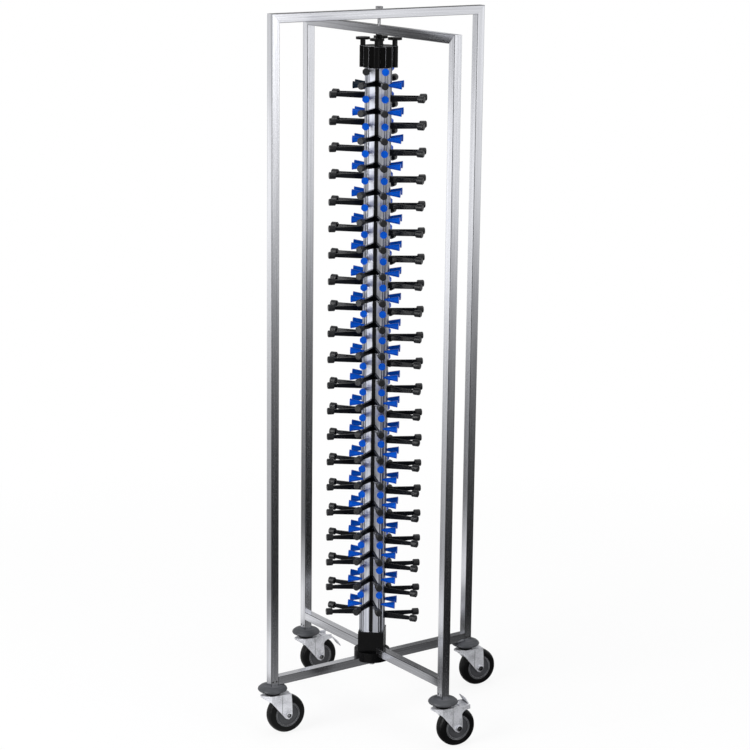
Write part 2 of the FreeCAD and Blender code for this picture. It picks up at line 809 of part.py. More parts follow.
def build_tyre(doc, size, name):
    """Rounded tyre around the wheel centre."""
    rim = size["rim_radius"]
    half = size["tyre_half"]
    tread = size["wheel_radius"]
    body = new_body(doc, f"{name}_tyre")
    upper = [(tread, 4), (tread - 0.8, half * 0.53), (tread - 3.5, half * 0.84), (tread - 8, half),
             (rim + 2, half), (rim, half - 1)]
    lower = [(radius, -rise) for radius, rise in reversed(upper)]
    revolve(body, lower + upper)
    return body


def build_axle(doc, size, name):
    """Tubular axle with a round, dished head at each end outside the fork."""
    outside = size["fork_half"] + size["fork_sheet"]
    end = outside + size["axle_head_height"]
    head = size["axle_head_radius"]
    dip = size["axle_dip_radius"]
    edge = size["axle_edge"]
    body = new_body(doc, f"{name}_axle")
    upper = [(size["axle_radius"], outside), (head, outside), (head, end - edge), (head - edge, end),
             (dip + edge, end), (dip, end - size["axle_dip"]), (0.0, end - size["axle_dip"])]
    lower = [(radius, -rise) for radius, rise in reversed(upper)]
    revolve(body, lower + upper)
    return body


def build_fork(doc, size, name, braked):
    """Pressed fork: a crown and two cheeks that close in at the nose, with ears for a brake pedal."""
    top = size["fork_top"]
    crown = top - size["crown_thick"]
    axle = size["axle_height"]
    trail = size["trail"]
    half = size["fork_half"]
    outer = half + size["fork_sheet"]
    nose = -size["fork_nose"]
    bend = -size["fork_bend"]
    crease = size["crease_trail"]
    drop = size["cheek_drop"]
    upper_back = trail + size["cheek_top"]
    back = trail + size["cheek_back"]
    ear = trail + size["ear_reach"]
    body = new_body(doc, f"{name}_fork")
    cheek = new_sketch(body, "XZ_Plane")
    rear = [(upper_back, top)]
    if braked:
        rise = size["ear_rise"]
        low = top - size["ear_deep"]
        rear = [(crease, top), (crease + rise, top + rise), (ear, top + rise), (ear, low),
                (ear - rise * 4, low - rise / 2), (back + rise / 2, low - rise * 2),
                (upper_back, low - rise * 4)]
    toe = [(back, axle + drop), (back, axle - drop / 8), (back - drop / 3, axle - drop * 0.7),
           (trail, axle - drop), (trail - drop * 0.7, axle - drop * 0.7)]
    front = [(bend, top - size["bend_deep"]), (nose, top - size["nose_deep"])]
    add_loop(cheek, [(nose, top)] + rear + toe + front)
    pad(body, cheek, outer * 2, symmetric=True)
    taper = new_sketch(body, "XY_Plane")
    tip = size["nose_half"]
    for sign in (-1, 1):
        add_loop(taper, [(nose - 1, sign * (outer + 1)), (bend, sign * (outer + 1)), (bend, sign * outer),
                         (nose, sign * tip), (nose - 1, sign * tip)])
    pocket(body, taper)
    inside = new_sketch(body, "XY_Plane")
    inner_tip = tip - size["fork_sheet"]
    add_loop(inside, [(nose + size["fork_sheet"], -inner_tip), (bend, -half), (ear + 1, -half),
                      (ear + 1, half), (bend, half), (nose + size["fork_sheet"], inner_tip)])
    pocket(body, inside, crown)
    pin = new_sketch(body, "XY_Plane")
    add_circle(pin, 0.0, 0.0, size["king_pin"] + size["bolt_play"])
    pocket(body, pin)
    holes = new_sketch(body, "XZ_Plane")
    add_circle(holes, trail, axle, size["axle_radius"] + size["bolt_play"])
    if braked:
        add_circle(holes, size["pin_trail"], size["pin_height"], size["pedal_pin_radius"] + size["bolt_play"])
    pocket(body, holes)
    groove = new_sketch(body, "XY_Plane")
    depth = size["crease_deep"]
    for sign in (-1, 1):
        add_box_loop(groove, crease - depth, crease + depth, sign * (outer - depth), sign * (outer + 1))
    pocket(body, groove, crown)
    if braked:
        well = new_sketch(body, "XY_Plane", top)
        add_box_loop(well, crease - 1, ear + 1, -half, half)
        pocket(body, well, size["ear_rise"] + 1)
        window = new_sketch(body, "XY_Plane")
        add_box_loop(window, trail + size["window_back"], ear + 1, -half, half)
        pocket(body, window)
    return body


def build_pedal(doc, size, name):
    """Brake pedal: a bent plate on a sleeve, with its pivot pin across the fork's ears."""
    pin_x = size["pin_trail"]
    pin_z = size["pin_height"]
    sheet = size["pedal_sheet"]
    width = size["pedal_half"] * 2
    body = new_body(doc, f"{name}_brake_pedal")
    sleeve = new_sketch(body, "XZ_Plane")
    add_circle(sleeve, pin_x, pin_z, size["pedal_sleeve"])
    pad(body, sleeve, width, symmetric=True)
    for path in PEDAL_PATHS[name]:
        upper = [(pin_x + back, pin_z + rise) for back, rise in path]
        lower = [(x - sheet * 0.6, z - sheet * 0.8) for x, z in reversed(upper)]
        plate = new_sketch(body, "XZ_Plane")
        add_loop(plate, upper + lower)
        pad(body, plate, width, symmetric=True)
    pin = new_sketch(body, "XZ_Plane")
    add_circle(pin, pin_x, pin_z, size["pedal_pin_radius"])
    pad(body, pin, (size["fork_half"] + size["fork_sheet"] + 1) * 2, symmetric=True)
    return body


def build_bumper(doc, size):
    """Domed ring bumper under a post."""
    low = size["bumper_bottom"]
    high = size["post_bottom"]
    hole = size["neck_radius"] + size["turn_gap"]
    rim = size["bumper_radius"]
    body = new_body(doc, "post_bumper")
    rise = size["bumper_height"]
    revolve(body, [(hole, low), (rim * 0.84, low), (rim * 0.96, low + rise * 0.14), (rim, low + rise * 0.33),
                   (rim * 0.97, low + rise * 0.55), (rim * 0.86, low + rise * 0.8),
                   (rim * 0.6, high), (hole, high)])
    return body


def build_stem(doc, size):
    """Caster stem: king pin and head below, ball race flange, neck and square plug for the post."""
    gap = size["turn_gap"]
    top = size["fork_top"]
    crown = top - size["crown_thick"]
    body = new_body(doc, "caster_stem")
    neck = size["neck_radius"]
    revolve(body, [(0.0, crown - 4), (size["king_head"], crown - 4), (size["king_head"], crown - gap),
                   (size["king_pin"], crown - gap), (size["king_pin"], top + gap),
                   (size["race_low_radius"], top + gap), (size["race_high_radius"], size["bumper_bottom"]),
                   (neck, size["bumper_bottom"]),
                   (neck, size["post_bottom"]), (0.0, size["post_bottom"])])
    plug = new_sketch(body, "XY_Plane", size["post_bottom"])
    half = size["tube"] / 2 - size["tube_wall"]
    add_box_loop(plug, -half, half, -half, half)
    pad(body, plug, size["plug_height"])
    return body


def build_casters(doc, size):
    """Four swivel casters, two under each hoop, the low hoop's pair with brakes."""
    bumper = build_bumper(doc, size)
    stem = build_stem(doc, size)
    heading = size["caster_heading"].value
    hoops = {"tall_hoop": (size["tall_width"], size["hoop_turn"].value, ("back_right", "front_left")),
             "low_hoop": (size["low_width"], size["hoop_turn"].value + 90.0, ("back_left", "front_right"))}
    wheel_turn = FreeCAD.Rotation(vector(x=1), 90)
    nodes = []
    doc.recompute()
    for hoop, (width, turn, names) in hoops.items():
        reach = number(width) / 2 - size["tube"].value / 2
        spots = []
        for name, angle in zip(names, (turn, turn + 180.0)):
            spot = vector(reach * math.cos(math.radians(angle)), reach * math.sin(math.radians(angle)))
            spots.append(placed(spot.x, spot.y, turn=turn))
            swivel = placed(spot.x, spot.y, turn=heading)
            braked = hoop == "low_hoop"
            fork = build_fork(doc, size, name, braked)
            fork.Placement = swivel
            nodes.append(fork)
            axle = FreeCAD.Placement(vector(size["trail"], z=size["axle_height"]), wheel_turn)
            axle_spot = swivel.multiply(axle)
            for builder in (build_wheel_hub, build_tyre, build_axle):
                item = builder(doc, size, name)
                item.Placement = axle_spot
                nodes.append(item)
            if braked:
                pedal = build_pedal(doc, size, name)
                pedal.Placement = swivel
                nodes.append(pedal)
        nodes.append(group(doc, f"{hoop}_bumpers", [moved(bumper.Shape, spot) for spot in spots]))
        nodes.append(group(doc, f"{hoop}_caster_stems", [moved(stem.Shape, spot) for spot in spots]))
    return nodes


def check_document(doc, nodes):
    """Stop if a feature failed or a sub-part isn't made of valid solids."""
    for item in doc.Objects:
        if "Invalid" in item.State or "Error" in item.State:
            raise RuntimeError(f"{item.Label} failed: {item.State}")
    for node in nodes:
        shape = node.Shape
        if shape.isNull() or not shape.isValid() or not shape.Solids:
            raise RuntimeError(f"{node.Label} has no valid solid")


def main():
    """Build the rack and write each sub-part."""
    doc = FreeCAD.newDocument("plate_rack")
    size = write_sheet(doc)
    follow_on(size)
    turn = size["hoop_turn"].value
    nodes = build_hoop(doc, size, "tall_hoop", size["tall_width"], size["tall_top"],
                       size["post_bottom"], turn)
    nodes += build_hoop(doc, size, "low_hoop", size["low_width"], size["low_top"],
                        size["low_beam_bottom"], turn + 90.0)
    nodes += build_hub(doc, size)
    nodes += build_pivot_bolts(doc, size)
    nodes += [build_column(doc, size), build_cap(doc, size)]
    for side in SIDES:
        nodes += [build_slide(doc, size, side), build_knob(doc, size, side)]
    nodes += build_supports(doc, size)
    nodes += build_casters(doc, size)
    doc.recompute()
    check_document(doc, nodes)
    os.makedirs("parts", exist_ok=True)
    for node in nodes:
        node.Shape.exportStep(os.path.join("parts", f"{node.Label}.step"))
        print(node.Label, len(node.Shape.Solids), round(node.Shape.Volume), flush=True)
    print(len(nodes), "sub-parts")


main()
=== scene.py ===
"""Dressed model of the mobile plate rack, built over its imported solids.

Two crossing hoops of stainless tube on casters carry a slotted column. Each side of the column
has pairs of arms with rubber pads on their tips, and a flared stop beside each arm.
"""

import logging
import math
from dataclasses import dataclass, replace
from enum import Enum
from typing import Any, Callable, ClassVar, Iterable, Mapping, Optional, Sequence

import bpy
from mathutils import Matrix, Vector


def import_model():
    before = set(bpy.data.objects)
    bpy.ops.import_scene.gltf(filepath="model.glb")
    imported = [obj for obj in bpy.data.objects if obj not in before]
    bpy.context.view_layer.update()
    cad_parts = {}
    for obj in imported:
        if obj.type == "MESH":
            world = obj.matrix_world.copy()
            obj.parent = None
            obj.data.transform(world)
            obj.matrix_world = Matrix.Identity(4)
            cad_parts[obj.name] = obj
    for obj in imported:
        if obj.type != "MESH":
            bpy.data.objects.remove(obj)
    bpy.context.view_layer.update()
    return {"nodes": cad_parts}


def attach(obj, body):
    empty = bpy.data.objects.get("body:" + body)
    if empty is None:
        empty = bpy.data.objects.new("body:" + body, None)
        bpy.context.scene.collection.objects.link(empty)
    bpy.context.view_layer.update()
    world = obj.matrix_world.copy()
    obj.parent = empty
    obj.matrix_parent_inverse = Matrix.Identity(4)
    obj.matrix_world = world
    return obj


LOG = logging.getLogger("plate_rack")
MM = 0.001
# Turn of each hoop about the upright axis, and distance of its posts from that axis.
TALL_TURN_DEG = 41.6
LOW_TURN_DEG = TALL_TURN_DEG + 90.0
TALL_REACH_MM = 307.0
LOW_REACH_MM = 310.0
# Steps round a screw head, along a ring and round its bead.
HEAD_SIDES = 14
RING_STEPS = 48
BEAD_SIDES = 5
# Height over the floor of the level reflection cards, and of the one that lies over others.
FLOOR_RISE = 0.004
EDGE_RISE = 0.006
# Sockets of a colour mix, whose names the other kinds of mix share.
MIX_SHARE, MIX_FIRST, MIX_SECOND, MIX_RESULT = 0, 6, 7, 2

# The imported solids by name, a place in metres, and the two ends of a range.
Nodes = Mapping[str, bpy.types.Object]
Point = tuple[float, float, float]
Span = tuple[float, float]


class Side(Enum):
    """Sides of the column, by the word that starts the names of their solids."""

    FRONT = "front"
    RIGHT = "right"
    BACK = "back"
    LEFT = "left"


class Grain(Enum):
    """Way that the brushing or drawing of a metal runs."""

    UPRIGHT = "upright"
    LEVEL = "level"


class Corner(Enum):
    """Casters by the corner they stand at."""

    FRONT_LEFT = "front_left"
    BACK_RIGHT = "back_right"
    BACK_LEFT = "back_left"
    FRONT_RIGHT = "front_right"

    @property
    def tall(self) -> bool:
        """Whether the corner's post belongs to the tall hoop."""
        return self in (Corner.FRONT_LEFT, Corner.BACK_RIGHT)

    @property
    def turn_deg(self) -> float:
        """Direction of the corner's post from the upright axis."""
        back = TALL_TURN_DEG if self.tall else LOW_TURN_DEG
        return back + 180.0 if self in (Corner.FRONT_LEFT, Corner.FRONT_RIGHT) else back

    @property
    def reach_mm(self) -> float:
        """Distance of the corner's post from the upright axis."""
        return TALL_REACH_MM if self.tall else LOW_REACH_MM


def hex_colour(code: str) -> tuple[float, float, float, float]:
    """Turn an sRGB hex colour into a linear one.

    Args:
        code: Six hex digits after a number sign.

    Returns:
        Linear red, green, blue and full alpha.
    """
    parts = [int(code[start:start + 2], 16) / 255.0 for start in (1, 3, 5)]
    linear = [part / 12.92 if part <= 0.04045 else ((part + 0.055) / 1.055) ** 2.4
              for part in parts]
    return (linear[0], linear[1], linear[2], 1.0)


def add_node(tree: bpy.types.NodeTree, kind: str, settings: Optional[Mapping[str, Any]] = None,
             values: Optional[Mapping[Any, Any]] = None,
             links: Optional[Mapping[Any, bpy.types.NodeSocket]] = None) -> bpy.types.Node:
    """Add a node with its settings, socket values and incoming links.

    Args:
        tree: Node tree that gets the node.
        kind: Node type.
        settings: Attributes of the node.
        values: Socket name or number to its value.
        links: Socket name or number to the output that feeds it.

    Returns:
        The new node.
    """
    node = tree.nodes.new(kind)
    for key, value in (settings or {}).items():
        setattr(node, key, value)
    for key, value in (values or {}).items():
        node.inputs[key].default_value = value
    for key, output in (links or {}).items():
        tree.links.new(output, node.inputs[key])
    return node


def blank_material(name: str) -> tuple[bpy.types.Material, bpy.types.NodeTree, bpy.types.Node]:
    """Make a material with only a principled shader.

    Args:
        name: Name of the material.

    Returns:
        The material, its tree and its shader.
    """
    material = bpy.data.materials.new(name)
    material.use_nodes = True
    tree = material.node_tree
    tree.nodes.clear()
    shader = add_node(tree, "ShaderNodeBsdfPrincipled")
    add_node(tree, "ShaderNodeOutputMaterial", links={"Surface": shader.outputs["BSDF"]})
    return material, tree, shader


@dataclass(frozen=True)
class DrawnMetal:
    """Metal with fine lines along one way: brushed tube, or drawn and extruded bar.

    The corners, and faces that lie between its square ways, are painted darker as shade: they keep
    only a set share of the faces' colour. Upright faces lean back by lean_deg, as those of a
    twisted tube, and fall away from their middle by crown_deg, as those of a bar.
    """

    name: str
    light: str
    dark: str
    roughness: float
    line_mm: float
    run_mm: float
    band_mm: float = 7.0
    grain: Grain = Grain.UPRIGHT
    turn_deg: float = 0.0
    depth_mm: float = 0.02
    corner_shade_share: float = 1.0
    lean_deg: float = 0.0
    crown_deg: float = 0.0

    LINE_SHARE: ClassVar[float] = 0.6
    BAND_SHARE: ClassVar[float] = 0.4
    BAND_RUNS: ClassVar[float] = 3.0
    TONE_SPAN: ClassVar[Span] = (0.36, 0.62)
    ROUGH_SPREAD: ClassVar[Span] = (-0.06, 0.08)
    CORNER_SHADE_SPAN: ClassVar[Span] = (0.975, 0.999)
    LINE_STRENGTH: ClassVar[float] = 0.25

    def streaks(self, tree: bpy.types.NodeTree,
                way: bpy.types.NodeSocket) -> list[bpy.types.NodeSocket]:
        """Draw noise out along the metal, once as fine lines and once as broader bands.

        Args:
            tree: Node tree of the material.
            way: Coordinates turned so that the metal runs along X or Z.

        Returns:
            Strength of the lines and of the bands.
        """
        made = []
        for width_mm, run_mm in ((self.line_mm, self.run_mm),
                                 (self.band_mm, self.run_mm * self.BAND_RUNS)):
            across, along = 1.0 / (width_mm * MM), 1.0 / (run_mm * MM)
            upright = self.grain is Grain.UPRIGHT
            scale = (across, across, along) if upright else (along, across, across)
            stretch = add_node(tree, "ShaderNodeMapping", values={"Scale": scale},
                               links={"Vector": way})
            noise = add_node(tree, "ShaderNodeTexNoise",
                             values={"Scale": 1.0, "Detail": 3.0, "Roughness": 0.6},
                             links={"Vector": stretch.outputs["Vector"]})
            made.append(noise.outputs["Fac"])
        return made

    def relief(self, tree: bpy.types.NodeTree, place: bpy.types.NodeSocket,
               lines: bpy.types.NodeSocket) -> bpy.types.NodeSocket:
        """Lean and crown the faces and lay the fine lines over them.

        Args:
            tree: Node tree of the material.
            place: Coordinates on the piece.
            lines: Strength of the fine lines.

        Returns:
            The normal of the metal.
        """
        # A height that falls upward leans the upright faces back.
        parts = add_node(tree, "ShaderNodeSeparateXYZ", links={0: place})
        fall = add_node(tree, "ShaderNodeMath", {"operation": "MULTIPLY"},
                        {1: -math.tan(math.radians(self.lean_deg))}, {0: parts.outputs["Z"]})
        # One that falls away from the middle of each side crowns it.
        apart = add_node(tree, "ShaderNodeVectorMath", {"operation": "ABSOLUTE"}, links={0: place})
        widths = add_node(tree, "ShaderNodeSeparateXYZ", links={0: apart.outputs["Vector"]})
        beside = add_node(tree, "ShaderNodeMath", {"operation": "MINIMUM"}, links={
            0: widths.outputs["X"], 1: widths.outputs["Y"]})
        height = add_node(tree, "ShaderNodeMath", {"operation": "MULTIPLY_ADD"},
                          {1: -math.tan(math.radians(self.crown_deg))},
                          {0: beside.outputs["Value"], 2: fall.outputs["Value"]})
        form = add_node(tree, "ShaderNodeBump", values={"Strength": 1.0, "Distance": 1.0},
                        links={"Height": height.outputs["Value"]})
        bump = add_node(tree, "ShaderNodeBump",
                        values={"Strength": self.LINE_STRENGTH, "Distance": self.depth_mm * MM},
                        links={"Height": lines, "Normal": form.outputs["Normal"]})
        return bump.outputs["Normal"]

    def painted_corner_shade(self, tree: bpy.types.NodeTree,
                     normal: bpy.types.NodeSocket) -> bpy.types.NodeSocket:
        """Paint shade on the corners and on faces between the square ways by darkening their
        colour.

        Args:
            tree: Node tree of the material.
            normal: Normal of the piece, turned to its own ways.

        Returns:
            Share of the colour that is left.
        """
        lengths = add_node(tree, "ShaderNodeVectorMath", {"operation": "ABSOLUTE"},
                           links={0: normal})
        ways = add_node(tree, "ShaderNodeSeparateXYZ", links={0: lengths.outputs["Vector"]})
        level = add_node(tree, "ShaderNodeMath", {"operation": "MAXIMUM"}, links={
            0: ways.outputs["X"], 1: ways.outputs["Y"]})
        most = add_node(tree, "ShaderNodeMath", {"operation": "MAXIMUM"}, links={
            0: level.outputs["Value"], 1: ways.outputs["Z"]})
        share = add_node(tree, "ShaderNodeMapRange", values={
            "From Min": self.CORNER_SHADE_SPAN[0], "From Max": self.CORNER_SHADE_SPAN[1],
            "To Min": self.corner_shade_share}, links={"Value": most.outputs["Value"]})
        return share.outputs["Result"]

    def material(self) -> bpy.types.Material:
        """Build the material from its lines, its bands, its relief and its duller corners.

        Returns:
            The material.
        """
        material, tree, shader = blank_material(self.name)
        place = add_node(tree, "ShaderNodeTexCoord")
        turned = {"Rotation": (0.0, 0.0, -math.radians(self.turn_deg))}
        way = add_node(tree, "ShaderNodeMapping", values=turned,
                       links={"Vector": place.outputs["Object"]})
        facing = add_node(tree, "ShaderNodeMapping", {"vector_type": "VECTOR"}, turned,
                          {"Vector": place.outputs["Normal"]})
        lines, bands = self.streaks(tree, way.outputs["Vector"])
        fine = add_node(tree, "ShaderNodeMath", {"operation": "MULTIPLY"}, {1: self.LINE_SHARE},
                        {0: lines})
        total = add_node(tree, "ShaderNodeMath", {"operation": "MULTIPLY_ADD"},
                         {1: self.BAND_SHARE}, {0: bands, 2: fine.outputs["Value"]})
        ramp = add_node(tree, "ShaderNodeValToRGB", links={"Fac": total.outputs["Value"]})
        tones = zip(ramp.color_ramp.elements, self.TONE_SPAN, (self.dark, self.light))
        for element, position, code in tones:
            element.position, element.color = position, hex_colour(code)
        # Scale the colour down at the corners and in-between faces: painted shade.
        tone = add_node(tree, "ShaderNodeVectorMath", {"operation": "SCALE"}, links={
            0: ramp.outputs["Color"], "Scale": self.painted_corner_shade(tree, facing.outputs["Vector"])})
        rough = add_node(tree, "ShaderNodeMapRange", values={
            "To Min": self.roughness + self.ROUGH_SPREAD[0],
            "To Max": self.roughness + self.ROUGH_SPREAD[1]}, links={"Value": lines})
        normal = self.relief(tree, place.outputs["Object"], lines)
        shader.inputs["Metallic"].default_value = 1.0
        tree.links.new(tone.outputs["Vector"], shader.inputs["Base Color"])
        tree.links.new(rough.outputs["Result"], shader.inputs["Roughness"])
        tree.links.new(normal, shader.inputs["Normal"])
        return material


@dataclass(frozen=True)
class PlatedSteel:
    """Pressed or turned steel: clouded, with small bright crystals and painted shade in its
    creases.

    The painted shade lies within a set reach of a crease, found by ambient occlusion. It starts
    where the crease takes the light down to an upper level, and leaves only a set share of the
    colour at a lower one.
    """

    name: str
    light: str
    dark: str
    roughness: float
    cloud_mm: float
    crystal_mm: float
    metallic: float = 1.0
    crease_shade_mm: float = 4.0
    crease_shade_from: float = 0.45
    crease_shade_to: float = 0.92
    crease_shade_share: float = 0.2

    CRYSTAL_SHARE: ClassVar[float] = 0.7
    TONE_SPAN: ClassVar[Span] = (0.5, 0.95)
    ROUGH_SPREAD: ClassVar[Span] = (-0.07, 0.1)

    def material(self) -> bpy.types.Material:
        """Build the material from its clouds, its crystals and its painted crease shade.

        Returns:
            The material.
        """
        material, tree, shader = blank_material(self.name)
        place = add_node(tree, "ShaderNodeTexCoord")
        clouds = add_node(tree, "ShaderNodeTexNoise",
                          values={"Scale": 1.0 / (self.cloud_mm * MM), "Detail": 4.0},
                          links={"Vector": place.outputs["Object"]})
        crystals = add_node(tree, "ShaderNodeTexVoronoi",
                            values={"Scale": 1.0 / (self.crystal_mm * MM)},
                            links={"Vector": place.outputs["Object"]})
        mix = add_node(tree, "ShaderNodeMath", {"operation": "MULTIPLY_ADD"},
                       {1: self.CRYSTAL_SHARE},
                       {0: crystals.outputs["Distance"], 2: clouds.outputs["Fac"]})
        ramp = add_node(tree, "ShaderNodeValToRGB", links={"Fac": mix.outputs["Value"]})
        tones = zip(ramp.color_ramp.elements, self.TONE_SPAN, (self.dark, self.light))
        for element, position, code in tones:
            element.position, element.color = position, hex_colour(code)
        rough = add_node(tree, "ShaderNodeMapRange", values={
            "To Min": self.roughness + self.ROUGH_SPREAD[0],
            "To Max": self.roughness + self.ROUGH_SPREAD[1]},
            links={"Value": clouds.outputs["Fac"]})
        # Ambient occlusion darkens the colour in creases: painted shade.
        crease = add_node(tree, "ShaderNodeAmbientOcclusion", {"samples": 8, "only_local": True},
                          {"Distance": self.crease_shade_mm * MM})
        unshaded_share = add_node(tree, "ShaderNodeMapRange", values={
            "From Min": self.crease_shade_from, "From Max": self.crease_shade_to, "To Min": self.crease_shade_share},
            links={"Value": crease.outputs["AO"]})
        tone = add_node(tree, "ShaderNodeVectorMath", {"operation": "SCALE"}, links={
            0: ramp.outputs["Color"], "Scale": unshaded_share.outputs["Result"]})
        shader.inputs["Metallic"].default_value = self.metallic
        tree.links.new(tone.outputs["Vector"], shader.inputs["Base Color"])
        tree.links.new(rough.outputs["Result"], shader.inputs["Roughness"])
        return material


@dataclass(frozen=True)
class Moulded:
    """Moulded plastic or rubber: an even colour with a fine grain and slight flow clouds.

    It can have another colour, upper, above a height, and a paler one painted along its edges as a
    highlight.
    """

    name: str
    light: str
    dark: str
    roughness: float
    grit_mm: float
    depth_mm: float
    ior: float = 1.5
    specular: float = 0.25
    edge_mm: float = 0.6
    upper: Optional[str] = None
    upper_from_mm: float = 0.0
    edge_highlight: Optional[str] = None

    CLOUD_MM: ClassVar[float] = 100.0 / 3.0
    TONE_SPAN: ClassVar[Span] = (0.35, 0.65)
    ROUGH_SPREAD: ClassVar[Span] = (-0.06, 0.06)
    LEAST_ROUGHNESS: ClassVar[float] = 0.03
    EDGE_HIGHLIGHT_SPAN: ClassVar[Span] = (0.997, 0.95)
    GRIT_STRENGTH: ClassVar[float] = 0.3

    def material(self) -> bpy.types.Material:
        """Build the material from its grain, its clouds and its rounded edges.

        Returns:
            The material.
        """
        material, tree, shader = blank_material(self.name)
        place = add_node(tree, "ShaderNodeTexCoord")
        grit = add_node(tree, "ShaderNodeTexNoise",
                        values={"Scale": 1.0 / (self.grit_mm * MM), "Detail": 2.0},
                        links={"Vector": place.outputs["Object"]})
        clouds = add_node(tree, "ShaderNodeTexNoise",
                          values={"Scale": 1.0 / (self.CLOUD_MM * MM), "Detail": 3.0},
                          links={"Vector": place.outputs["Object"]})
        ramp = add_node(tree, "ShaderNodeValToRGB", links={"Fac": clouds.outputs["Fac"]})
        tones = zip(ramp.color_ramp.elements, self.TONE_SPAN, (self.dark, self.light))
        for element, position, code in tones:
            element.position, element.color = position, hex_colour(code)
        rough = add_node(tree, "ShaderNodeMapRange", values={
            "To Min": max(self.roughness + self.ROUGH_SPREAD[0], self.LEAST_ROUGHNESS),
            "To Max": self.roughness + self.ROUGH_SPREAD[1]},
            links={"Value": grit.outputs["Fac"]})
        edge = add_node(tree, "ShaderNodeBevel", {"samples": 4}, {"Radius": self.edge_mm * MM})
        bump = add_node(tree, "ShaderNodeBump",
                        values={"Strength": self.GRIT_STRENGTH, "Distance": self.depth_mm * MM},
                        links={"Height": grit.outputs["Fac"], "Normal": edge.outputs["Normal"]})
        tone = ramp.outputs["Color"]
        if self.upper is not None:
            parts = add_node(tree, "ShaderNodeSeparateXYZ", links={0: place.outputs["Object"]})
            above = add_node(tree, "ShaderNodeMath", {"operation": "GREATER_THAN"},
                             {1: self.upper_from_mm * MM}, {0: parts.outputs["Z"]})
            pair = add_node(tree, "ShaderNodeMix", {"data_type": "RGBA"},
                            {MIX_SECOND: hex_colour(self.upper)},
                            {MIX_SHARE: above.outputs["Value"], MIX_FIRST: tone})
            tone = pair.outputs[MIX_RESULT]
        if self.edge_highlight is not None:
            # The rounded normal leaves the flat one only at the edges, where a pale colour is
            # painted on as a highlight.
            flat = add_node(tree, "ShaderNodeNewGeometry")
            same = add_node(tree, "ShaderNodeVectorMath", {"operation": "DOT_PRODUCT"}, links={
                0: flat.outputs["True Normal"], 1: edge.outputs["Normal"]})
            near = add_node(tree, "ShaderNodeMapRange", values={
                "From Min": self.EDGE_HIGHLIGHT_SPAN[0], "From Max": self.EDGE_HIGHLIGHT_SPAN[1]},
                links={"Value": same.outputs["Value"]})
            highlit = add_node(tree, "ShaderNodeMix", {"data_type": "RGBA"},
                            {MIX_SECOND: hex_colour(self.edge_highlight)},
                            {MIX_SHARE: near.outputs["Result"], MIX_FIRST: tone})
            tone = highlit.outputs[MIX_RESULT]
        shader.inputs["IOR"].default_value = self.ior
        shader.inputs["Specular IOR Level"].default_value = self.specular
        tree.links.new(tone, shader.inputs["Base Color"])
        tree.links.new(rough.outputs["Result"], shader.inputs["Roughness"])
        tree.links.new(bump.outputs["Normal"], shader.inputs["Normal"])
        return material


Finish = DrawnMetal | PlatedSteel | Moulded

# Brushed stainless: a grey mirror blurred along its length, with lines that just show, and edges
# painted dark as shade. Real brushing is too fine for the render, so its lines are drawn coarser.
STAINLESS_POST = DrawnMetal("brushed_stainless_post", "#e2e3e8", "#c6c7cc", 0.16, 1.6, 260.0,
                            turn_deg=TALL_TURN_DEG, corner_shade_share=0.05)
STAINLESS_TALL_BEAM = DrawnMetal("brushed_stainless_tall_beam", "#e2e3e8", "#bfc0c5", 0.12, 1.6,
                                 260.0, grain=Grain.LEVEL, turn_deg=TALL_TURN_DEG,
                                 corner_shade_share=0.05)
STAINLESS_LOW_BEAM = replace(STAINLESS_TALL_BEAM, name="brushed_stainless_low_beam",
                             turn_deg=LOW_TURN_DEG)
STAINLESS_LOW_TOP = replace(STAINLESS_LOW_BEAM, name="brushed_stainless_low_top", lean_deg=7.0)
# Extruded anodised aluminium: bluer and softer than the steel, with die lines along the column,
# which are drawn coarser too, and flanks that shade off to both sides. Its chamfered faces and
# corners are painted darker as shade.
ALUMINIUM = DrawnMetal("extruded_aluminium", "#c4c6ce", "#a3a6b0", 0.33, 1.4, 700.0, 5.0,
                       corner_shade_share=0.44, crown_deg=10.0)
# Bright zinc on pressed steel: pale, slightly bluish and half matt, clouded and finely speckled,
# with shade painted into its creases.
ZINC = PlatedSteel("bright_zinc", "#dcdde2", "#a9aaaf", 0.42, 22.0, 2.4, 0.5)
# Turned steel on the bolts of the folding axis: mid grey with a soft shine.
BOLT_STEEL = PlatedSteel("turned_bolt_steel", "#8c8c8e", "#5f5f61", 0.26, 8.0, 1.5)
# Blackened steel on the caster stems and the post screws: nearly black, with a dull shine.
RACE_STEEL = PlatedSteel("black_oxide_steel", "#2b2b2d", "#19191a", 0.34, 9.0, 1.8)
# Polished steel on the hollow axles: a bright ring round a dip painted nearly black as shade.
AXLE_STEEL = PlatedSteel("dark_polished_steel", "#d4d5da", "#a8a9ae", 0.1, 6.0, 1.4, crease_shade_mm=9.0,
                         crease_shade_from=0.8, crease_shade_to=0.97, crease_shade_share=0.04)
# Black ABS mouldings: satin on the hub, near mirror on the cap and the knobs, with a painted
# highlight along the cap's edges. The grit of all mouldings is drawn coarse enough to show.
HUB_BLACK = Moulded("satin_black_abs", "#080809", "#050506", 0.26, 0.8, 0.03, 1.52, 0.08)
CAP_BLACK = Moulded("gloss_black_abs", "#040404", "#020202", 0.08, 1.2, 0.01, 1.52, 0.05,
                    edge_mm=1.5, edge_highlight="#a4a5a9")
KNOB_BLACK = replace(CAP_BLACK, name="gloss_black_knob", specular=0.1, edge_mm=1.2, edge_highlight=None)
# Glass-filled nylon: blue-black with a dull sheen on the arms, plain black and matt in the slots.
ARM_BLACK = Moulded("blue_black_nylon", "#0b0e14", "#07080c", 0.24, 0.9, 0.03, 1.53, 0.09)
SLIDE_BLACK = Moulded("black_nylon_slide", "#0a0a0c", "#060607", 0.45, 0.9, 0.02, 1.53, 0.1)
